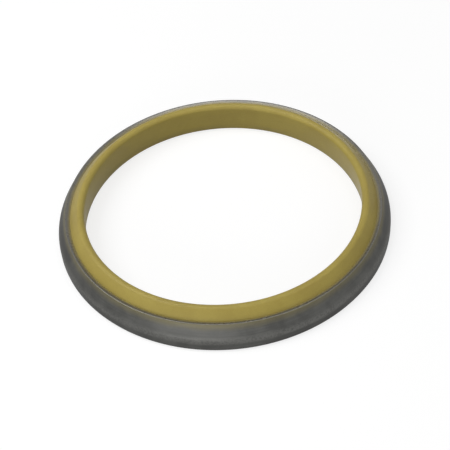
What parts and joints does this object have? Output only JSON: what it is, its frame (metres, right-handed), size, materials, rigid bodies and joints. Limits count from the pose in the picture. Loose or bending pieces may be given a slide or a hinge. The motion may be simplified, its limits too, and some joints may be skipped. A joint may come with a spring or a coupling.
{
  "type": "wiper seal",
  "caption": "Metal-cased rod wiper seal: a yellow polyurethane ring, whose round-crested lip stands out of the dark drawn steel case that it is bonded into. The case presses into a housing bore.",
  "frame": {"origin": "centre of the ring on its flat base, at z = 0", "axes": "+Z along the seal's axis, from the flat base towards the lip; X and Y are any two radii, because the seal is round"},
  "size_m": [0.095, 0.095, 0.0097],
  "materials": {
    "case_steel": "dark phosphated steel, satin",
    "polyurethane": "yellow moulded polyurethane, satin"
  },
  "bodies": {
    "root": {"steel_case": "case_steel", "wiper_ring": "polyurethane"}
  },
  "joints": []
}
